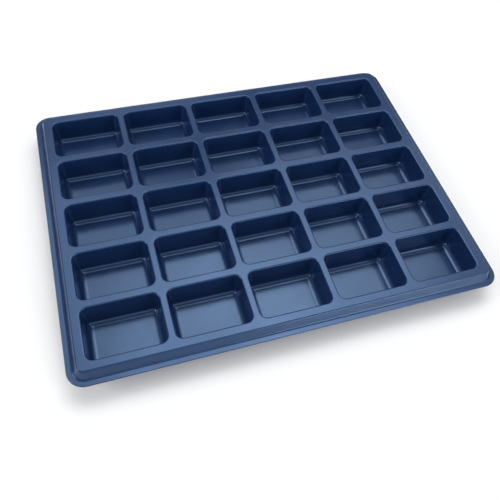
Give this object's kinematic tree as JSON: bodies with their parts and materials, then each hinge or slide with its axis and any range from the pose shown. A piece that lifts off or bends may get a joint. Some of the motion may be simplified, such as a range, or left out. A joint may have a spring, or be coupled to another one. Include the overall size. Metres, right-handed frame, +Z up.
{
  "type": "coin display tray",
  "caption": "Shallow rectangular display tray: a formed sheet with a grid of deep rectangular pockets and a stepped flange, lifting out of a low base tray on feet.",
  "frame": {"origin": "on the surface that the feet stand on, under the middle of the tray", "axes": "+X along the tray's long side, towards the right seen from the front, +Y to the back, +Z up"},
  "size_m": [0.3018, 0.2308, 0.0226],
  "materials": {
    "insert_sheet": "satin, fine moulded grain, soft highlights",
    "base_sheet": "satin, slightly duller than the insert",
    "foot_rubber": "matt"
  },
  "bodies": {
    "base": {"base_tray": "base_sheet", "foot_front_left": "foot_rubber", "foot_front_right": "foot_rubber", "foot_back_left": "foot_rubber", "foot_back_right": "foot_rubber"},
    "insert": {"pocket_insert": "insert_sheet"}
  },
  "joints": [
    {"name": "insert_lift", "type": "slide", "parent": "base", "child": "insert", "axis": [0, 0, 1], "range_m": [0, 0.015]}
  ]
}
